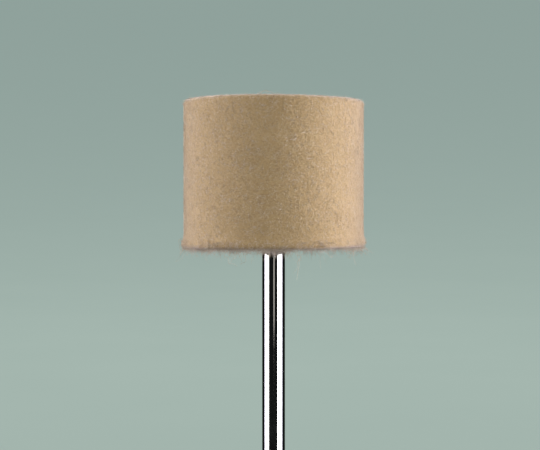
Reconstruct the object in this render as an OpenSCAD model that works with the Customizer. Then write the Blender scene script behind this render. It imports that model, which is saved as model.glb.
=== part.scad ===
// Mounted felt polishing wheel: a pressed-felt cylinder bonded on a straight steel mandrel.
// The axis is Z. Z = 0 is the felt's underside, where the mandrel enters it: the felt stands
// above that plane and the shank hangs below it. All sizes are in millimetres.

/* [Felt head] */
// Diameter of the felt cylinder
head_d = 25.4; // [16:0.1:50]
// Height of the felt cylinder
head_h = 20.4; // [14:0.1:40]
// Rounding of the top edge, worn by use
top_edge_r = 0.6; // [0.2:0.1:2]
// Rounding of the bottom edge
bottom_edge_r = 0.4; // [0.1:0.05:0.6]
// How far the bottom edge spreads beyond the cylinder
flare_out = 0.25; // [0:0.05:0.6]
// Height over which the side spreads into that edge
flare_h = 1.6; // [1:0.1:3]
// Solid felt left between the end of the bore and the top face
felt_cover = 4.2; // [2:0.1:7]

/* [Mandrel] */
// Diameter of the shank, which the collet grips
shank_d = 3.175; // [2.35:0.005:6.35]
// Length of shank that shows below the felt
shank_len = 38.1; // [20:0.1:60]
// Chamfer on the free end of the shank
free_end_chamfer = 0.4; // [0.1:0.05:0.6]
// Chamfer on the end inside the felt
lead_in_chamfer = 0.5; // [0.2:0.05:0.7]
// Length of the relief groove between the shank and the knurl
relief_len = 1.0; // [0.6:0.1:2]
// How much deeper the relief groove is than the knurl
relief_extra = 0.05; // [0.02:0.01:0.1]
// Distance from one knurl groove to the next around the mandrel
knurl_pitch = 0.5; // [0.35:0.05:0.8]
// Width of the crest left between two knurl grooves
knurl_land = 0.1; // [0.05:0.01:0.2]

/* [Adhesive] */
// Thickness of the bond film between the mandrel and the bore
bond_gap = 0.2; // [0.1:0.05:0.4]
// Depth of adhesive between the mandrel's tip and the end of the bore
tip_gap = 0.4; // [0.2:0.1:1]
// How far the adhesive stops inside the mouth of the bore
mouth_recess = 0.6; // [0.1:0.05:1]

/* [Hidden] */
$fn = 96;
overrun = 0.5;           // how far a cutting shape runs past what it cuts
drill_point_angle = 118; // included angle of the drill that makes the bore

head_r = head_d / 2;
foot_r = head_r + flare_out;
shank_r = shank_d / 2;

// Straight knurl with 90 degree grooves, so a groove is half as deep as it is wide.
groove_count = round(PI * shank_d / knurl_pitch);
groove_depth = (knurl_pitch - knurl_land) / 2;
relief_depth = groove_depth + relief_extra;
relief_r = shank_r - relief_depth;

bore_r = shank_r + bond_gap;
point_h = bore_r / tan(drill_point_angle / 2); // height of the drill's cone
bore_wall_h = head_h - felt_cover - point_h;   // height of the bore's straight wall
tip_z = bore_wall_h - tip_gap;                 // top of the mandrel, inside the felt

// What a fillet of radius r takes off an outer corner that points to +X +Y.
// The fillet's centre is at the origin.
module edge_waste(r) {
    difference() {
        square(r + overrun);
        circle(r);
    }
}

// Half section of the felt, with radius along X and height along Y.
module head_section() {
    difference() {
        polygon([
            [0, 0],
            [foot_r, 0],
            [foot_r, bottom_edge_r],
            [head_r, flare_h],
            [head_r, head_h],
            [0, head_h]
        ]);
        translate([head_r - top_edge_r, head_h - top_edge_r])
            edge_waste(top_edge_r);
        translate([foot_r - bottom_edge_r, bottom_edge_r])
            mirror([0, 1])
                edge_waste(bottom_edge_r);
    }
}

// Blind hole with a drill's point, from start_z up to its full depth.
module bore_shape(start_z) {
    translate([0, 0, start_z])
        cylinder(r = bore_r, h = bore_wall_h - start_z);
    translate([0, 0, bore_wall_h])
        cylinder(r1 = bore_r, r2 = 0, h = point_h);
}

// Pressed wool felt, bored from below for the mandrel.
module felt_head() {
    color("tan")
        difference() {
            rotate_extrude()
                head_section();
            bore_shape(-overrun);
        }
}

// Turned outline of the mandrel. The relief groove starts at the felt's underside, and its far
// wall slopes at 45 degrees up to the knurl.
module mandrel_blank() {
    rotate_extrude()
        polygon([
            [0, -shank_len],
            [shank_r - free_end_chamfer, -shank_len],
            [shank_r, free_end_chamfer - shank_len],
            [shank_r, 0],
            [relief_r, 0],
            [relief_r, relief_len],
            [shank_r, relief_len + relief_depth],
            [shank_r, tip_z - lead_in_chamfer],
            [shank_r - lead_in_chamfer, tip_z],
            [0, tip_z]
        ]);
}

// One V groove of the knurl, from the middle of the relief groove out past the mandrel's tip.
module knurl_groove() {
    reach = groove_depth + overrun;
    start_z = relief_len / 2;
    translate([shank_r - groove_depth, 0, start_z])
        linear_extrude(tip_z - start_z + overrun)
            polygon([[0, 0], [reach, -reach], [reach, reach]]);
}

// Polished steel pin, straight-knurled inside the felt.
module mandrel() {
    color("silver")
        difference() {
            mandrel_blank();
            for (i = [0 : groove_count - 1])
                rotate(i * 360 / groove_count)
                    knurl_groove();
        }
}

// Cured epoxy that fills the bore around the knurl and over the tip.
module adhesive() {
    color("goldenrod")
        difference() {
            bore_shape(mouth_recess);
            mandrel();
        }
}

felt_head();
mandrel();
adhesive();
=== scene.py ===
"""Looks of the mounted felt polishing wheel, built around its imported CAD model.

The axis is Z and Z = 0 is the felt's underside. Blender works in metres; MM turns millimetres into them.
"""

import math

import bpy
import numpy as np
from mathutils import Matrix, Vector


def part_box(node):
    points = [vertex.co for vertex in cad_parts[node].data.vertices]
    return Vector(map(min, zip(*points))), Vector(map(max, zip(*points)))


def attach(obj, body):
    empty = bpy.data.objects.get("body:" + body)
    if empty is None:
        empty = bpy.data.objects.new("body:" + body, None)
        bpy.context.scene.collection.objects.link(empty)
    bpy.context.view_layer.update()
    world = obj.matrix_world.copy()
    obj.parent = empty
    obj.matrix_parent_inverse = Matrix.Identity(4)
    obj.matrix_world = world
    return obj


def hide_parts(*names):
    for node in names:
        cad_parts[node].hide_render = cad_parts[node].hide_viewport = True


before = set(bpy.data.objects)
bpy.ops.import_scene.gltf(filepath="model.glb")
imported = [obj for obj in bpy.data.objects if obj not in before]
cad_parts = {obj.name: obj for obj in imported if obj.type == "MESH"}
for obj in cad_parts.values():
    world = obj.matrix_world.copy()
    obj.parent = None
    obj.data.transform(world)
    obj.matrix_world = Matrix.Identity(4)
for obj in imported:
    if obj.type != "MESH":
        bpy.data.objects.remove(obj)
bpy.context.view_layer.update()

MM = 0.001
TURN = 2 * math.pi
UP = np.array([0.0, 0.0, 1.0])

# Sizes read from the frame.
HEAD_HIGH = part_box("felt_head")[1]
PIN_LOW, PIN_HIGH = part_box("mandrel")
GLUE_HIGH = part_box("adhesive")[1]
FOOT_R = HEAD_HIGH.x
HEAD_H = HEAD_HIGH.z
SHANK_R = PIN_HIGH.x
FREE_END_Z = PIN_LOW.z
TIP_Z = PIN_HIGH.z
BORE_R = GLUE_HIGH.x
BORE_END_Z = GLUE_HIGH.z

# Sizes that the frame's boxes don't tell. The bottom edge is softer than the CAD model's.
FLARE_OUT = 0.25 * MM
TOP_EDGE_R = 0.6 * MM
BOTTOM_EDGE_R = 0.6 * MM
DRILL_POINT_ANGLE = math.radians(118)
FREE_END_CHAMFER = 0.4 * MM
LEAD_IN_CHAMFER = 0.5 * MM
RELIEF_LEN = 1.0 * MM
RELIEF_EXTRA = 0.05 * MM
KNURL_PITCH = 0.5 * MM
KNURL_LAND = 0.1 * MM

HEAD_R = FOOT_R - FLARE_OUT

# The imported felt's side lies this far inside the outline, and the nap of loose fibres fills the rest.
NAP_DEPTH = 0.20 * MM
SKIN_R = HEAD_R - NAP_DEPTH
# The end faces are packed harder, and have a thinner nap.
THIN_NAP = 0.03 * MM
SKIN_FOOT_R = FOOT_R - NAP_DEPTH
SKIN_TOP = HEAD_H - THIN_NAP
SKIN_FOOT = THIN_NAP
# The foot spreads softly, from a little higher than the CAD model's cone.
SPREAD_START = 2.2 * MM
SPREAD_END = SKIN_FOOT + BOTTOM_EDGE_R
# The two cut faces aren't quite square to the axis: both are nearer to each other on the right.
FACE_SLOPE = 0.1 * MM / HEAD_R
# The top edge is worn rounder on the left: there its corner lies this much lower.
EDGE_WEAR = 0.22 * MM
GROOVE_DEPTH = (KNURL_PITCH - KNURL_LAND) / 2
GROOVE_COUNT = round(TURN * SHANK_R / KNURL_PITCH)
RELIEF_DEPTH = GROOVE_DEPTH + RELIEF_EXTRA
BORE_WALL_TOP = BORE_END_Z - BORE_R / math.tan(DRILL_POINT_ANGLE / 2)


# ---------------------------------------------------------------- camera and light

CAMERA_DISTANCE = 196.5 * MM
CAMERA_Z = 6.2 * MM
CAMERA_ASIDE = -0.5 * MM
CAMERA_TILT = math.radians(0.912)
LENS = 94.0
# The tall soft boxes stand this much above the middle of the head.
BOX_RISE = 0.02


def make_camera():
    """The photograph's view: level with the lower part of the head, and tilted a little down the shank."""
    data = bpy.data.cameras.new("camera")
    data.lens = LENS
    data.sensor_width = 36.0
    data.clip_start = 0.005
    data.clip_end = 20.0
    camera = bpy.data.objects.new("camera", data)
    camera.location = (CAMERA_ASIDE, -CAMERA_DISTANCE, CAMERA_Z)
    camera.rotation_euler = (math.radians(90) - CAMERA_TILT, 0, 0)
    bpy.context.collection.objects.link(camera)
    bpy.context.scene.camera = camera


def make_panel(name, azimuth, elevation, distance, width, height, radiance, colour, in_steel=True):
    """A soft light panel that faces the head. Azimuth 0 is the camera's side and 90 is the right."""
    data = bpy.data.lights.new(name, "AREA")
    data.shape = "RECTANGLE"
    data.size = width
    data.size_y = height
    data.energy = radiance * math.pi * width * height
    data.color = colour
    panel = bpy.data.objects.new(name, data)
    a, e = math.radians(azimuth), math.radians(elevation)
    away = Vector((math.sin(a) * math.cos(e), -math.cos(a) * math.cos(e), math.sin(e)))
    centre = Vector((0, 0, HEAD_H / 2))
    panel.location = centre + away * distance
    panel.rotation_euler = away.to_track_quat("Z", "Y").to_euler()
    panel.visible_camera = False
    panel.visible_glossy = in_steel
    bpy.context.collection.objects.link(panel)
    return panel


def make_lights():
    """Two tall soft boxes at the sides, which the shank mirrors as two strips, and weak fill lights."""
    boxes = [
        make_panel("box_right_front", 55.0, 0, 0.42, 0.225, 0.48, 4.6, (1.0, 0.99, 1.01)),
        make_panel("box_right_back", 83.0, 0, 0.40, 0.180, 0.48, 4.0, (1.0, 0.97, 1.12)),
        make_panel("box_left_front", -60.5, 0, 0.42, 0.17, 0.48, 3.95, (1.0, 0.985, 0.97)),
        make_panel("box_left_back", -86.0, 0, 0.40, 0.18, 0.48, 4.7, (1.0, 0.97, 1.12)),
    ]
    for box in boxes:
        box.location.z += BOX_RISE
    # Fills that the steel doesn't mirror.
    fills = [
        make_panel("side_right", 94, 0, 0.50, 0.40, 0.50, 3.1, (1.0, 0.95, 1.28), in_steel=False),
        make_panel("side_left", -96, 0, 0.50, 0.40, 0.50, 3.1, (1.0, 0.97, 1.24), in_steel=False),
    ]
    make_panel("top_fill", 180, 65, 0.6, 0.24, 0.24, 7.7, (1.0, 0.97, 0.88), in_steel=False)
    # The faint grey streak down the middle of the shank.
    make_panel("front_card", 4, 9, 0.9, 0.18, 0.50, 0.6, (1.0, 0.95, 0.88))
    return boxes + fills


def keep_off(panels, floor):
    """The side panels stand on the floor, so without this each would draw a bright step at its own foot."""
    all_but_floor = bpy.data.collections.new("all_but_floor")
    all_but_floor.objects.link(floor)
    all_but_floor.collection_objects[0].light_linking.link_state = "EXCLUDE"
    for panel in panels:
        panel.light_linking.receiver_collection = all_but_floor


def make_surroundings():
    """What the steel mirrors beyond the lights: a dim room, and a pale floor below it."""
    world = bpy.data.worlds.new("studio")
    world.use_nodes = True
    tree = world.node_tree
    place = tree.nodes.new("ShaderNodeTexCoord").outputs["Generated"]
    split = tree.nodes.new("ShaderNodeSeparateXYZ")
    tree.links.new(place, split.inputs["Vector"])
    downward = tree.nodes.new("ShaderNodeMapRange")
    downward.inputs["From Min"].default_value = -0.20
    downward.inputs["From Max"].default_value = -0.32
    tree.links.new(split.outputs["Z"], downward.inputs["Value"])
    mix = tree.nodes.new("ShaderNodeMix")
    mix.data_type = "RGBA"
    mix.inputs["A"].default_value = (0.010, 0.011, 0.011, 1)
    mix.inputs["B"].default_value = (0.40, 0.47, 0.45, 1)
    tree.links.new(downward.outputs["Result"], mix.inputs["Factor"])
    tree.links.new(mix.outputs["Result"], tree.nodes["Background"].inputs["Color"])
    world.cycles_visibility.diffuse = False
    bpy.context.scene.world = world


# ---------------------------------------------------------------- mesh helpers


def smooth_step(x):
    x = np.clip(x, 0, 1)
    return x * x * (3 - 2 * x)


class Noise:
    """Smooth noise from -1 to 1 over space, from a table of random numbers that repeats every 48 cells."""

    SIDE = 48

    def __init__(self, seed):
        self.table = np.random.default_rng(seed).uniform(-1, 1, (self.SIDE,) * 3)

    def at(self, points, cell):
        place = np.asarray(points, float) / cell
        low = np.floor(place).astype(int)
        share = smooth_step(place - low)
        total = np.zeros(len(place))
        for corner in np.ndindex(2, 2, 2):
            weight = np.prod(np.where(corner, share, 1 - share), axis=1)
            i, j, k = ((low + corner) % self.SIDE).T
            total += weight * self.table[i, j, k]
        return total


def make_object(name, verts, faces, material, corner_uv=None):
    """A mesh object that rides on the root body. corner_uv holds one (u, v) per face corner."""
    mesh = bpy.data.meshes.new(name)
    mesh.from_pydata([tuple(v) for v in verts], [], faces)
    if corner_uv is not None:
        layer = mesh.uv_layers.new(name="OFBake")
        layer.data.foreach_set("uv", np.asarray(corner_uv, np.float32).ravel())
    mesh.shade_smooth()
    mesh.materials.append(material)
    mesh.validate()
    piece = bpy.data.objects.new(name, mesh)
    bpy.context.collection.objects.link(piece)
    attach(piece, "root")
    return piece


class Turned:
    """A closed surface of revolution built ring by ring, from one point on the axis to another.

    A ring may have as many points as its neighbour, half as many or twice as many."""

    def __init__(self, rings):
        """rings: (radius, z, how many points) in order. The first and the last have one point."""
        self.r = np.array([ring[0] for ring in rings])
        self.z = np.array([ring[1] for ring in rings])
        self.count = np.array([ring[2] for ring in rings])
        self.start = np.concatenate([[0], np.cumsum(self.count)])
        self.ring_of = np.repeat(np.arange(len(rings)), self.count)
        column = np.arange(self.start[-1]) - self.start[self.ring_of]
        self.angle = TURN * column / self.count[self.ring_of]
        self.faces = []
        for i in range(len(rings) - 1):
            self.faces += self._band(i)

    def _band(self, i):
        """Faces between ring i and the next, as lists of (ring, column).

        A column may be one past the last.
        """
        a, b = i, i + 1
        n, m = self.count[a], self.count[b]
        if n == 1:
            return [[(a, 0), (b, c), (b, c + 1)] for c in range(m)]
        if m == 1:
            return [[(a, c + 1), (a, c), (b, 0)] for c in range(n)]
        if n == m:
            return [[(a, c), (b, c), (b, c + 1), (a, c + 1)] for c in range(n)]
        fine, coarse, flip = (a, b, False) if n > m else (b, a, True)
        band = []
        for c in range(min(n, m)):
            band.append([(coarse, c), (fine, 2 * c + 1), (fine, 2 * c)])
            band.append([(coarse, c), (coarse, c + 1), (fine, 2 * c + 1)])
            band.append([(coarse, c + 1), (fine, 2 * c + 2), (fine, 2 * c + 1)])
        return [face[::-1] for face in band] if flip else band

    def vertex(self, ring, column):
        return int(self.start[ring] + column % self.count[ring])

    def vertex_faces(self):
        return [[self.vertex(*corner) for corner in face] for face in self.faces]

    def points(self):
        r = self.r[self.ring_of]
        return np.column_stack([r * np.cos(self.angle), r * np.sin(self.angle), self.z[self.ring_of]])

    def normals(self):
        """Outward normals of the undisplaced surface, from the outline's own slope."""
        along = np.gradient(np.column_stack([self.r, self.z]), axis=0)
        along /= np.maximum(np.linalg.norm(along, axis=1), 1e-12)[:, None]
        out_r, out_z = -along[:, 1], along[:, 0]
        out_r, out_z = out_r[self.ring_of], out_z[self.ring_of]
        return np.column_stack([out_r * np.cos(self.angle), out_r * np.sin(self.angle), out_z])


def stepped(start, end, step):
    """Points from start to end, about one step apart, without the last."""
    start, end = np.asarray(start, float), np.asarray(end, float)
    n = max(1, round(float(np.linalg.norm(end - start)) / step))
    return [tuple(start + (end - start) * i / n) for i in range(n)]


def fillet(centre, radius, from_deg, to_deg, pieces):
    """Points on an arc in the (radius, z) plane, without the last."""
    turns = np.radians(from_deg + (to_deg - from_deg) * np.arange(pieces) / pieces)
    return [(centre[0] + radius * math.cos(t), centre[1] + radius * math.sin(t)) for t in turns]


# ---------------------------------------------------------------- materials


class Nodes:
    """Short ways to add shader nodes to one material and link them."""

    def __init__(self, name):
        self.material = bpy.data.materials.new(name)
        self.material.use_nodes = True
        self.tree = self.material.node_tree
        self.shader = self.tree.nodes["Principled BSDF"]
        self.place = self.add("ShaderNodeTexCoord").outputs["Object"]

    def add(self, kind, **settings):
        node = self.tree.nodes.new(kind)
        for key, value in settings.items():
            setattr(node, key, value)
        return node

    def feed(self, socket, value):
        if isinstance(value, bpy.types.NodeSocket):
            self.tree.links.new(value, socket)
        else:
            socket.default_value = value

    def noise(self, cell, detail=2.0, roughness=0.5, stretch=None, distortion=0.0):
        """Noise with features about one cell across, in metres.

        stretch squeezes space along each axis first.
        """
        node = self.add("ShaderNodeTexNoise")
        place = self.place
        if stretch:
            mapping = self.add("ShaderNodeMapping")
            mapping.inputs["Scale"].default_value = stretch
            self.feed(mapping.inputs["Vector"], place)
            place = mapping.outputs["Vector"]
        self.feed(node.inputs["Vector"], place)
        node.inputs["Scale"].default_value = 1 / cell
        node.inputs["Detail"].default_value = detail
        node.inputs["Roughness"].default_value = roughness
        node.inputs["Distortion"].default_value = distortion
        return node.outputs["Fac"]

    def maths(self, operation, a, b=0.0):
        node = self.add("ShaderNodeMath", operation=operation)
        self.feed(node.inputs[0], a)
        self.feed(node.inputs[1], b)
        return node.outputs["Value"]

    def spread(self, value, low, high, to_low=0.0, to_high=1.0):
        """Maps low..high to to_low..to_high, and stops at both ends."""
        node = self.add("ShaderNodeMapRange")
        node.clamp = True
        self.feed(node.inputs["Value"], value)
        node.inputs["From Min"].default_value = low
        node.inputs["From Max"].default_value = high
        node.inputs["To Min"].default_value = to_low
        node.inputs["To Max"].default_value = to_high
        return node.outputs["Result"]

    def blend(self, share, a, b):
        node = self.add("ShaderNodeMix", data_type="RGBA")
        self.feed(node.inputs["Factor"], share)
        self.feed(node.inputs["A"], a if isinstance(a, bpy.types.NodeSocket) else (*a, 1))
        self.feed(node.inputs["B"], b if isinstance(b, bpy.types.NodeSocket) else (*b, 1))
        return node.outputs["Result"]

    def bump(self, height, distance, strength=1.0):
        node = self.add("ShaderNodeBump")
        node.inputs["Strength"].default_value = strength
        node.inputs["Distance"].default_value = distance
        self.feed(node.inputs["Height"], height)
        return node.outputs["Normal"]


def felt_material():
    """Pressed wool: mottled tan with pale and dark fibres, rough, and dusty at a grazing angle. The grain's
    pale and dark tones follow its bump, so they are also painted light on the raised grain and painted
    shade in the pits.
    """
    n = Nodes("wool_felt")
    mottle = n.noise(2.6 * MM, 3)
    grain = n.noise(0.32 * MM, 3, 0.6, stretch=(1.0, 1.0, 1.35), distortion=0.4)
    speck = n.noise(0.18 * MM, 1)
    tone = n.blend(n.spread(mottle, 0.35, 0.65), (0.45, 0.312, 0.132), (0.475, 0.332, 0.144))
    # Paler where the grain's bump rises: painted light on the raised grain.
    tone = n.blend(n.spread(grain, 0.50, 0.70, 0, 0.30), tone, (0.66, 0.52, 0.32))
    # Darker where the grain's bump sinks: painted shade in the pits.
    tone = n.blend(n.spread(grain, 0.48, 0.32, 0, 0.45), tone, (0.25, 0.165, 0.07))
    # Pale specks, which the bump raises as well: painted highlights on fibre tips.
    tone = n.blend(n.spread(speck, 0.64, 0.72, 0, 0.4), tone, (0.80, 0.70, 0.50))
    n.feed(n.shader.inputs["Base Color"], tone)
    n.feed(n.shader.inputs["Roughness"], n.spread(grain, 0.3, 0.7, 1.0, 0.82))
    n.shader.inputs["Specular IOR Level"].default_value = 0.2
    n.shader.inputs["Sheen Weight"].default_value = 0.8
    n.shader.inputs["Sheen Roughness"].default_value = 0.5
    n.shader.inputs["Sheen Tint"].default_value = (1.0, 0.94, 0.96, 1)
    height = n.maths("ADD", grain, n.maths("MULTIPLY", speck, 0.6))
    n.feed(n.shader.inputs["Normal"], n.bump(height, 0.09 * MM, 1.0))
    return n.material


def fibre_material():
    """Single wool fibres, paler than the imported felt, because light passes round and through them."""
    n = Nodes("wool_fibre")
    tone = n.blend(n.spread(n.noise(0.28 * MM, 1), 0.38, 0.62), (0.54, 0.42, 0.26), (0.83, 0.755, 0.61))
    n.feed(n.shader.inputs["Base Color"], tone)
    n.feed(n.shader.inputs["Roughness"], n.spread(n.noise(0.2 * MM, 1), 0.3, 0.7, 0.65, 0.40))
    n.shader.inputs["Specular IOR Level"].default_value = 0.3
    n.shader.inputs["Sheen Weight"].default_value = 0.3
    n.shader.inputs["Sheen Roughness"].default_value = 0.5
    n.shader.inputs["Sheen Tint"].default_value = (1.0, 0.95, 0.9, 1)
    return n.material


def steel_material():
    """Ground and polished steel: a near mirror with faint rings from the grinding."""
    n = Nodes("polished_steel")
    rings = n.noise(0.10 * MM, 2, stretch=(0.06, 0.06, 1.0))
    smudge = n.noise(3.0 * MM, 3)
    tone = n.blend(n.spread(smudge, 0.4, 0.6), (0.60, 0.59, 0.575), (0.66, 0.655, 0.64))
    n.feed(n.shader.inputs["Base Color"], tone)
    n.shader.inputs["Metallic"].default_value = 1.0
    gloss = n.maths("ADD", n.spread(smudge, 0.35, 0.7, 0.05, 0.09), n.spread(rings, 0.4, 0.7, 0.0, 0.03))
    n.feed(n.shader.inputs["Roughness"], gloss)
    n.feed(n.shader.inputs["Normal"], n.bump(rings, 0.0015 * MM, 0.35))
    return n.material


def glue_material():
    """Cured amber epoxy, cloudy in tone, with a slightly uneven skin."""
    n = Nodes("cured_epoxy")
    cloud = n.noise(0.8 * MM, 3)
    tone = n.blend(n.spread(cloud, 0.35, 0.65), (0.30, 0.15, 0.035), (0.48, 0.27, 0.08))
    n.feed(n.shader.inputs["Base Color"], tone)
    n.feed(n.shader.inputs["Roughness"], n.spread(cloud, 0.3, 0.7, 0.22, 0.42))
    n.shader.inputs["Coat Weight"].default_value = 0.3
    n.feed(n.shader.inputs["Normal"], n.bump(n.noise(0.25 * MM, 2), 0.02 * MM, 0.6))
    return n.material


def floor_material():
    """Plain pale studio paper. Its faint glow stands for the lamps that light the far wall."""
    n = Nodes("studio_paper")
    tone = n.blend(n.spread(n.noise(0.05, 2), 0.3, 0.7), (0.27, 0.32, 0.30), (0.29, 0.34, 0.32))
    n.feed(n.shader.inputs["Base Color"], tone)
    n.shader.inputs["Roughness"].default_value = 0.9
    n.shader.inputs["Specular IOR Level"].default_value = 0.1
    n.shader.inputs["Emission Color"].default_value = (0.60, 0.78, 0.72, 1)
    n.shader.inputs["Emission Strength"].default_value = 0.46
    return n.material


# ---------------------------------------------------------------- felt head

SIDE_COUNT = 448
GRID = TURN * HEAD_R / SIDE_COUNT


def points_around(radius):
    """How many points a ring of this radius has, so that its cells stay about one GRID wide."""
    if radius <= 0:
        return 1
    count = SIDE_COUNT
    while count > 28 and radius < 0.52 * HEAD_R * count / SIDE_COUNT:
        count //= 2
    return count


def side_r(z):
    """Radius of the felt's side at a height: straight, then spreading to the foot."""
    share = np.clip((SPREAD_START - z) / (SPREAD_START - SPREAD_END), 0, 1)
    return SKIN_R + (SKIN_FOOT_R - SKIN_R) * share**2


def head_outline():
    """The felt's outline from the top of the axis round to the end of the bore, and each point's region."""
    top_edge_centre = (SKIN_R - TOP_EDGE_R, SKIN_TOP - TOP_EDGE_R)
    foot_centre = (SKIN_FOOT_R - BOTTOM_EDGE_R, SKIN_FOOT + BOTTOM_EDGE_R)
    top_inner = (top_edge_centre[0], SKIN_TOP)
    side_top = (SKIN_R, top_edge_centre[1])
    side_foot = (SKIN_R, SPREAD_END)
    foot_inner = (foot_centre[0], SKIN_FOOT)
    mouth = (BORE_R, SKIN_FOOT)
    wall_top = (BORE_R, BORE_WALL_TOP)
    stretches = [
        ("top", stepped((0, SKIN_TOP), top_inner, GRID)),
        ("side", fillet(top_edge_centre, TOP_EDGE_R, 90, 0, 6)),
        ("side", [(float(side_r(z)), z) for _, z in stepped(side_top, side_foot, GRID)]),
        ("side", fillet(foot_centre, BOTTOM_EDGE_R, 0, -90, 4)),
        ("under", stepped(foot_inner, mouth, GRID)),
        ("bore", stepped(mouth, wall_top, 2 * GRID)),
        ("cone", stepped(wall_top, (0, BORE_END_Z), 2 * GRID) + [(0, BORE_END_Z)]),
    ]
    outline = [(r, z) for _, points in stretches for r, z in points]
    regions = [name for name, points in stretches for _ in points]
    return outline, regions


SHEET_SIDE = 84 * MM


def head_uv(turned, regions, run):
    """Lays the felt out flat: side and bore as strips, and top, underside and cone as discs."""
    centre = {"top": (13 * MM, 40 * MM), "under": (40 * MM, 40 * MM), "cone": (57 * MM, 40 * MM)}
    first = {name: regions.index(name) for name in ("side", "bore")}
    corner_uv = []
    for face in turned.faces:
        region = regions[min(ring for ring, _ in face)]
        for ring, column in face:
            angle = TURN * column / turned.count[ring]
            if region in centre:
                u = centre[region][0] + turned.r[ring] * math.cos(angle)
                v = centre[region][1] + turned.r[ring] * math.sin(angle)
            elif region == "side":
                u = 1 * MM + angle * HEAD_R
                v = 1 * MM + run[ring] - run[first["side"]]
            else:
                u = 61 * MM + angle * BORE_R
                v = 30 * MM + run[ring] - run[first["bore"]]
            corner_uv.append((u / SHEET_SIDE, v / SHEET_SIDE))
    return corner_uv


def felt_relief(points, noise):
    """How far the felt's skin stands out from its outline at each point."""
    lump = noise.at(points, 3.1 * MM) * 0.016 * MM
    lump += noise.at(points + 0.011, 1.2 * MM) * 0.010 * MM
    squeezed = points * [1.0, 1.0, 1.4]
    tuft = noise.at(squeezed + 0.023, 0.50 * MM) * 0.018 * MM
    pit = noise.at(squeezed + 0.037, 0.38 * MM) * 0.034 * MM
    return lump + tuft + pit


def out_of_square(points):
    """Tips the two end faces towards each other on the right. The middle of the head stays."""
    share = np.clip(points[..., 2] / HEAD_H, 0, 1) * 2 - 1
    moved = points.copy()
    moved[..., 2] -= share * points[..., 0] * FACE_SLOPE
    return moved


def worn(points):
    """Lowers the left of the top edge, where the corner is rounder."""
    left = np.clip(-points[..., 0] / HEAD_R, 0, 1) ** 2
    rim = np.clip((np.hypot(points[..., 0], points[..., 1]) - HEAD_R) / (1.6 * MM) + 1, 0, 1) ** 2
    near_top = np.clip((points[..., 2] - HEAD_H) / (2 * MM) + 1, 0, 1)
    moved = points.copy()
    moved[..., 2] -= EDGE_WEAR * left * rim * near_top
    return moved


def make_felt_head(material):
    outline, regions = head_outline()
    turned = Turned([(r, z, points_around(r)) for r, z in outline])
    steps = np.hypot(np.diff(turned.r), np.diff(turned.z))
    run = np.concatenate([[0], np.cumsum(steps)])
    points = turned.points()
    region_of = np.array(regions)[turned.ring_of]
    in_bore = np.isin(region_of, ["bore", "cone"])
    relief = np.where(in_bore, 0, felt_relief(points, Noise(11)))
    points = out_of_square(worn(points + turned.normals() * relief[:, None]))
    piece = make_object("felt_body", points, turned.vertex_faces(), material, head_uv(turned, regions, run))
    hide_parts("felt_head")
    return piece


# ---------------------------------------------------------------- fibres

FIBRE_SIDES = 3


def fibre_lines(rng, roots, aims, lengths, bends, droop, segments):
    """Centre lines of fibres.

    Each starts at its root along its aim, and turns by its bend about a random axis.
    """
    count = len(roots)
    aims = aims / np.linalg.norm(aims, axis=1)[:, None]
    turn_axis = rng.normal(size=(count, 3))
    turn_axis -= (turn_axis * aims).sum(1)[:, None] * aims
    turn_axis /= np.linalg.norm(turn_axis, axis=1)[:, None]
    lines = np.empty((count, segments + 1, 3))
    lines[:, 0] = roots
    heading = aims.copy()
    for k in range(segments):
        lines[:, k + 1] = lines[:, k] + heading * (lengths / segments)[:, None]
        turn = (bends / segments)[:, None]
        heading = heading * np.cos(turn) + np.cross(turn_axis, heading) * np.sin(turn)
        heading -= UP * (droop / segments)[:, None]
        heading += rng.normal(scale=0.12, size=heading.shape)
        heading /= np.linalg.norm(heading, axis=1)[:, None]
    return lines


def lying_lines(rng, roots, normals, segments=3):
    """Centre lines of fibres that curl along the skin, with only their middles clear of it."""
    count = len(roots)
    heading = sideways(rng, normals)
    lengths = rng.gamma(5.0, 0.13, count).clip(0.25, 1.3) * MM
    curl = rng.normal(0, 2.0, count)[:, None] / segments
    lines = np.empty((count, segments + 1, 3))
    lines[:, 0] = roots
    for k in range(segments):
        lines[:, k + 1] = lines[:, k] + heading * (lengths / segments)[:, None]
        heading = heading * np.cos(curl) + np.cross(normals, heading) * np.sin(curl)
    middle = np.sin(math.pi * np.arange(segments + 1) / segments)
    rise = rng.uniform(0.03, 0.06, count)[:, None] * MM * middle
    return lines + normals[:, None, :] * rise[:, :, None]


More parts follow.
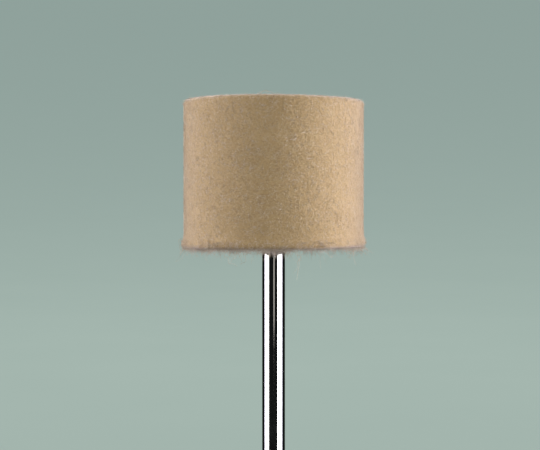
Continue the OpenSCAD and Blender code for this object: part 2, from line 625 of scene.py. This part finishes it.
def fibre_tubes(name, lines, thickness, material):
    """Closed tapered tubes along the lines: rings of three points, a flat foot and a pointed tip."""
    lines = out_of_square(worn(lines))
    count, rings = lines.shape[0], lines.shape[1] - 1
    along = np.gradient(lines, axis=1)
    along /= np.linalg.norm(along, axis=2)[:, :, None]
    across = np.cross(along[:, 0], np.roll(along[:, 0], 1, axis=1) + 0.3)
    verts = np.empty((count, rings * FIBRE_SIDES + 1, 3))
    for k in range(rings):
        across = across - (across * along[:, k]).sum(1)[:, None] * along[:, k]
        across /= np.linalg.norm(across, axis=1)[:, None]
        beside = np.cross(along[:, k], across)
        radius = thickness / 2 * (1 - 0.45 * (k / rings) ** 2)
        for side in range(FIBRE_SIDES):
            a = TURN * side / FIBRE_SIDES
            spoke = across * math.cos(a) + beside * math.sin(a)
            verts[:, k * FIBRE_SIDES + side] = lines[:, k] + spoke * radius[:, None]
    verts[:, -1] = lines[:, -1]

    faces, uv = [], []
    tip = rings * FIBRE_SIDES
    for k in range(rings - 1):
        for side in range(FIBRE_SIDES):
            a, b = k * FIBRE_SIDES + side, k * FIBRE_SIDES + (side + 1) % FIBRE_SIDES
            faces.append([a, b, b + FIBRE_SIDES, a + FIBRE_SIDES])
            uv += [(side, k), (side + 1, k), (side + 1, k + 1), (side, k + 1)]
    for side in range(FIBRE_SIDES):
        a, b = (rings - 1) * FIBRE_SIDES + side, (rings - 1) * FIBRE_SIDES + (side + 1) % FIBRE_SIDES
        faces.append([a, b, tip])
        uv += [(side, rings - 1), (side + 1, rings - 1), (side + 0.5, rings)]
    faces.append([2, 1, 0])
    uv += [(0, -0.6), (1, -0.6), (0.5, -0.1)]

    cells = math.ceil(math.sqrt(count))
    size = np.array([FIBRE_SIDES, rings + 0.6]) * 1.25
    local = (np.array(uv) + [0.3, 0.7]) / size
    cell = np.column_stack([np.arange(count) % cells, np.arange(count) // cells])
    corner_uv = (cell[:, None, :] + local[None, :, :]) / cells
    per_fibre = verts.shape[1]
    all_faces = [[i * per_fibre + v for v in face] for i in range(count) for face in faces]
    piece = make_object(name, verts.reshape(-1, 3), all_faces, material, corner_uv.reshape(-1, 2))
    return piece


def around(angle):
    return np.column_stack([np.cos(angle), np.sin(angle), np.zeros_like(angle)])


def sideways(rng, normals):
    """A random direction square to each normal."""
    side = rng.normal(size=normals.shape)
    side -= (side * normals).sum(1)[:, None] * normals
    return side / np.linalg.norm(side, axis=1)[:, None]


def leaning(rng, normals, spread):
    """Directions round the normals, leaning by a random share of spread."""
    return normals + sideways(rng, normals) * (spread * rng.random(len(normals)) ** 0.5)[:, None]


ROOT_DEPTH = 0.05 * MM


def nap_lines(rng, roots, normals):
    """Short fibres of the nap: most lie over, and few reach past the outline."""
    count = len(roots)
    lengths = rng.gamma(4.0, 0.065, count).clip(0.1, 0.5) * MM
    aims = leaning(rng, normals, 2.4)
    return fibre_lines(rng, roots, aims, lengths, rng.normal(0, 1.0, count), np.zeros(count), 2)


def side_places(rng, count, depth):
    """Random places on the side, this far under the skin, and their normals."""
    out = around(rng.random(count) * TURN)
    z = rng.uniform(SPREAD_END - 0.2 * MM, SKIN_TOP - TOP_EDGE_R, count)
    return out * (side_r(z) - depth)[:, None] + z[:, None] * UP, out


def face_places(rng, count, depth, z, facing, inner_r):
    """Random places on an end face, this far under the skin, and their normals."""
    r = np.sqrt(rng.uniform(inner_r**2, (SKIN_R - TOP_EDGE_R / 2) ** 2, count))
    normals = np.tile(facing * UP, (count, 1))
    return around(rng.random(count) * TURN) * r[:, None] + (z - facing * depth) * UP, normals


def make_nap(name, seed, count, places, material, *where):
    """Short pale fibres that stand off the skin."""
    rng = np.random.default_rng(seed)
    roots, normals = places(rng, count, ROOT_DEPTH, *where)
    fibre_tubes(name, nap_lines(rng, roots, normals), rng.uniform(0.020, 0.032, count) * MM, material)


def make_lay(name, seed, count, places, material, *where):
    """Longer fibres that lie along the skin."""
    rng = np.random.default_rng(seed)
    roots, normals = places(rng, count, 0.02 * MM, *where)
    fibre_tubes(name, lying_lines(rng, roots, normals), rng.uniform(0.022, 0.036, count) * MM, material)


def make_top_edge_fuzz(material):
    rng = np.random.default_rng(31)
    count = 3000
    out = around(rng.random(count) * TURN)
    slope = rng.uniform(0, math.pi / 2, count)
    normals = out * np.cos(slope)[:, None] + np.sin(slope)[:, None] * UP
    centre = out * (SKIN_R - TOP_EDGE_R) + (SKIN_TOP - TOP_EDGE_R) * UP
    roots = centre + normals * (TOP_EDGE_R - ROOT_DEPTH)
    lengths = rng.gamma(3.0, 0.08, count).clip(0.12, 0.8) * MM
    aims = leaning(rng, normals, 2.0)
    bends = rng.normal(0, 1.2, count)
    lines = fibre_lines(rng, roots, aims, lengths, bends, np.zeros(count), 3)
    fibre_tubes("top_edge_fuzz", lines, rng.uniform(0.018, 0.028, count) * MM, material)


def make_foot_fuzz(material):
    """The burr of loose fibres that hangs from the bottom edge and the rim of the underside."""
    rng = np.random.default_rng(41)
    count = 6500
    out = around(rng.random(count) * TURN)
    r = SKIN_FOOT_R - 0.20 * MM - np.abs(rng.normal(0, 1.5, count)) * MM
    roots = out * r[:, None] + (SKIN_FOOT + ROOT_DEPTH) * UP
    aims = leaning(rng, -np.tile(UP, (count, 1)) + out * 0.2, 1.6)
    tufted = 1 + 0.55 * Noise(43).at(roots, 0.9 * MM) + 0.35 * Noise(44).at(roots, 2.6 * MM)
    lengths = (rng.gamma(2.4, 0.26, count) * tufted).clip(0.12, 2.0) * MM
    bends = rng.normal(0, 2.4, count)
    lines = fibre_lines(rng, roots, aims, lengths, bends, np.full(count, 0.3), 5)
    fibre_tubes("foot_fuzz", lines, rng.uniform(0.020, 0.034, count) * MM, material)


def make_foot_loops(material):
    """Small curled loops that catch on the lip, in uneven bunches."""
    rng = np.random.default_rng(45)
    tries = 2600
    angle = rng.random(tries) * TURN
    bunched = Noise(46).at(around(angle) * HEAD_R, 2.2 * MM)
    angle = angle[bunched > rng.uniform(-0.8, 1.0, tries)]
    count = len(angle)
    out = around(angle)
    slope = rng.uniform(-0.6, 1.2, count)
    normals = out * np.cos(slope)[:, None] - UP * np.sin(slope)[:, None]
    centre = out * (SKIN_FOOT_R - BOTTOM_EDGE_R) + SPREAD_END * UP
    roots = centre + normals * (BOTTOM_EDGE_R - 0.02 * MM)
    lengths = rng.uniform(0.6, 1.3, count) * MM
    bends = rng.choice([-1, 1], count) * rng.uniform(4, 8, count)
    lines = fibre_lines(rng, roots, leaning(rng, normals, 1.8), lengths, bends, np.zeros(count), 9)
    fibre_tubes("foot_loops", lines, rng.uniform(0.026, 0.038, count) * MM, material)


def make_mouth_fuzz(material):
    """Fibres that the mandrel pushed out where it enters the felt."""
    rng = np.random.default_rng(51)
    count = 900
    out = around(rng.random(count) * TURN)
    r = BORE_R + np.abs(rng.normal(0, 0.5, count)) * MM
    roots = out * r[:, None] + (SKIN_FOOT + ROOT_DEPTH) * UP
    aims = leaning(rng, -np.tile(UP, (count, 1)) - out * 0.15, 1.2)
    lengths = rng.gamma(3.0, 0.30, count).clip(0.2, 2.4) * MM
    lines = fibre_lines(rng, roots, aims, lengths, rng.normal(0, 3.0, count), np.full(count, 0.2), 8)
    fibre_tubes("mouth_fuzz", lines, rng.uniform(0.022, 0.034, count) * MM, material)


def make_stray_hairs(material):
    """A few long hairs that have come loose."""
    rng = np.random.default_rng(61)
    count = 60
    out = around(rng.random(count) * TURN)
    roots = out * (SKIN_FOOT_R - 0.4 * MM) + SKIN_FOOT * UP
    aims = leaning(rng, out * 0.5 - UP, 1.2)
    lengths = rng.uniform(1.2, 3.2, count) * MM
    lines = fibre_lines(rng, roots, aims, lengths, rng.normal(0, 2.5, count), np.full(count, 0.5), 12)
    fibre_tubes("stray_hairs", lines, rng.uniform(0.018, 0.026, count) * MM, material)


# Single hairs that stand out, in mm: start, end, how far the middle bows out, curl radius and curls.
LOOSE_HAIRS = [
    ((-2.5, -11.9, 20.1), (0.3, -12.2, 20.2), (0.0, -0.2, 0.62), 0.03, 1.0),
    ((-1.9, -12.1, 20.2), (-0.6, -12.3, 20.2), (0.2, -0.1, 0.70), 0.02, 1.0),
    ((-0.6, -12.2, 20.2), (1.2, -11.8, 20.2), (0.1, -0.1, 0.30), 0.03, 1.5),
    ((2.9, -11.8, 0.1), (2.95, -11.2, -4.0), (0.35, 0.0, 0.0), 0.07, 2.0),
    ((3.5, -11.5, 0.1), (2.6, -11.6, -3.2), (0.30, 0.2, 0.2), 0.16, 2.5),
    ((2.6, -11.9, 0.1), (3.6, -11.9, -1.5), (0.20, 0.0, -0.3), 0.22, 2.0),
    ((-6.6, -10.6, 0.1), (-4.7, -10.9, -2.1), (-0.3, 0.1, -0.5), 0.20, 2.5),
    ((-5.3, -10.9, 0.1), (-5.9, -11.2, -1.7), (0.4, 0.1, -0.2), 0.18, 2.0),
    ((-3.6, -11.6, 0.1), (-4.4, -11.9, -1.9), (0.3, 0.0, -0.3), 0.15, 1.5),
    ((6.6, -10.4, 0.1), (7.9, -10.2, -1.0), (0.2, 0.1, -0.4), 0.18, 2.0),
    ((9.4, -8.4, 0.1), (10.6, -8.1, -0.7), (0.1, 0.1, -0.4), 0.15, 1.5),
    ((-12.2, -3.0, 1.6), (-12.5, -2.6, -0.7), (-0.7, 0.0, 0.3), 0.12, 1.5),
]


def make_loose_hairs(material, segments=36):
    """Each hair follows its bowed line and winds round it."""
    share = np.arange(segments + 1) / segments
    lines = []
    for start, end, bow, curl_r, curls in LOOSE_HAIRS:
        start, end, bow = (np.array(p) * MM for p in (start, end, bow))
        straight = (end - start) / np.linalg.norm(end - start)
        side = np.cross(straight, [0.3, 1.0, 0.2])
        side /= np.linalg.norm(side)
        turn = TURN * curls * share
        reach = curl_r * MM * np.sin(math.pi * share) ** 0.5
        line = start + (end - start) * share[:, None] + bow * (4 * share * (1 - share))[:, None]
        line += side * (reach * np.cos(turn))[:, None]
        line += np.cross(straight, side) * (reach * np.sin(turn))[:, None]
        lines.append(line)
    fibre_tubes("loose_hairs", np.array(lines), np.full(len(lines), 0.045 * MM), material)


# ---------------------------------------------------------------- mandrel

PIN_COLUMNS_PER_GROOVE = 16


def make_mandrel(material):
    """The turned pin, with its relief groove, knurl and chamfers."""
    start = RELIEF_LEN + RELIEF_DEPTH
    relief_r = SHANK_R - RELIEF_DEPTH
    corners = [
        (0, FREE_END_Z),
        (SHANK_R - FREE_END_CHAMFER, FREE_END_Z),
        (SHANK_R, FREE_END_Z + FREE_END_CHAMFER),
        (SHANK_R, 0),
        (relief_r, 0),
        (relief_r, RELIEF_LEN),
        (SHANK_R, start),
        (SHANK_R, TIP_Z - LEAD_IN_CHAMFER),
        (SHANK_R - LEAD_IN_CHAMFER, TIP_Z),
        (0, TIP_Z),
    ]
    ease = 0.02 * MM
    outline = [corners[0]]
    for before, corner, after in zip(corners, corners[1:], corners[2:]):
        before, corner, after = (np.array(p) for p in (before, corner, after))
        back = (before - corner) / np.linalg.norm(before - corner)
        on = (after - corner) / np.linalg.norm(after - corner)
        outline.append(tuple(corner + back * ease))
        outline.append(tuple(corner + (back + on) * ease * 0.29))
        outline.append(tuple(corner + on * ease))
    outline.append(corners[-1])
    outline = [p for a, b in zip(outline, outline[1:]) for p in stepped(a, b, 1.5 * MM)] + [outline[-1]]
    count = GROOVE_COUNT * PIN_COLUMNS_PER_GROOVE
    rings = [(r, z, 1 if r == 0 else count) for r, z in outline[::-1]]
    turned = Turned(rings)
    points = turned.points()
    pitch = TURN / GROOVE_COUNT
    off_groove = np.abs((turned.angle + pitch / 2) % pitch - pitch / 2) * SHANK_R
    groove_r = SHANK_R - GROOVE_DEPTH + off_groove
    r = np.hypot(points[:, 0], points[:, 1])
    knurled = (points[:, 2] > RELIEF_LEN / 2) & (r > 0)
    scale = np.where(knurled, np.minimum(1, groove_r / np.maximum(r, 1e-9)), 1)
    points[:, :2] *= scale[:, None]
    piece = make_object("mandrel_pin", points, turned.vertex_faces(), material)
    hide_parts("mandrel")
    return piece


# ---------------------------------------------------------------- stage


def make_floor(material):
    """A pale floor that sweeps up into a wall all round, far outside the lights."""
    flat_r, sweep_r, wall_h = 0.30, 1.6, 1.5
    z = FREE_END_Z - 0.05 * MM
    outline = [(0, z), *[(r, z) for r in np.linspace(0.1, flat_r, 3)]]
    for t in np.radians(np.linspace(0, 90, 31)[1:]):
        outline.append((flat_r + sweep_r * math.sin(t), z + sweep_r * (1 - math.cos(t))))
    outline.append((flat_r + sweep_r, z + sweep_r + wall_h))
    n = 96
    verts = [(0, 0, z)]
    for r, h in outline[1:]:
        verts += [(r * math.cos(TURN * i / n), r * math.sin(TURN * i / n), h) for i in range(n)]
    faces = [[0, 1 + i, 1 + (i + 1) % n] for i in range(n)]
    for k in range(len(outline) - 2):
        a, b = 1 + k * n, 1 + (k + 1) * n
        faces += [[a + i, b + i, b + (i + 1) % n, a + (i + 1) % n] for i in range(n)]
    mesh = bpy.data.meshes.new("floor")
    mesh.from_pydata(verts, [], faces)
    mesh.shade_smooth()
    mesh.materials.append(material)
    floor = bpy.data.objects.new("floor", mesh)
    # The world stands in for it in the steel, and its glow doesn't reach the felt.
    floor.visible_glossy = False
    floor.visible_diffuse = False
    bpy.context.collection.objects.link(floor)
    return floor


# ---------------------------------------------------------------- the scene

bpy.context.scene.view_settings.view_transform = "Standard"
make_camera()
panels = make_lights()
make_surroundings()
keep_off(panels, make_floor(floor_material()))

felt = felt_material()
fibre = fibre_material()
make_felt_head(felt)
top_face = (SKIN_TOP, 1, 0)
under_face = (SKIN_FOOT, -1, BORE_R + 0.1 * MM)
make_nap("side_nap", 21, 10000, side_places, fibre)
make_lay("side_lay", 22, 12000, side_places, fibre)
make_nap("top_nap", 23, 4500, face_places, fibre, *top_face)
make_lay("top_lay", 24, 2500, face_places, fibre, *top_face)
make_nap("under_nap", 25, 4500, face_places, fibre, *under_face)
make_lay("under_lay", 26, 2500, face_places, fibre, *under_face)
make_top_edge_fuzz(fibre)
make_foot_fuzz(fibre)
make_foot_loops(fibre)
make_mouth_fuzz(fibre)
make_stray_hairs(fibre)
make_loose_hairs(fibre)
make_mandrel(steel_material())

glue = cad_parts["adhesive"]
glue.data.materials.clear()
glue.data.materials.append(glue_material())
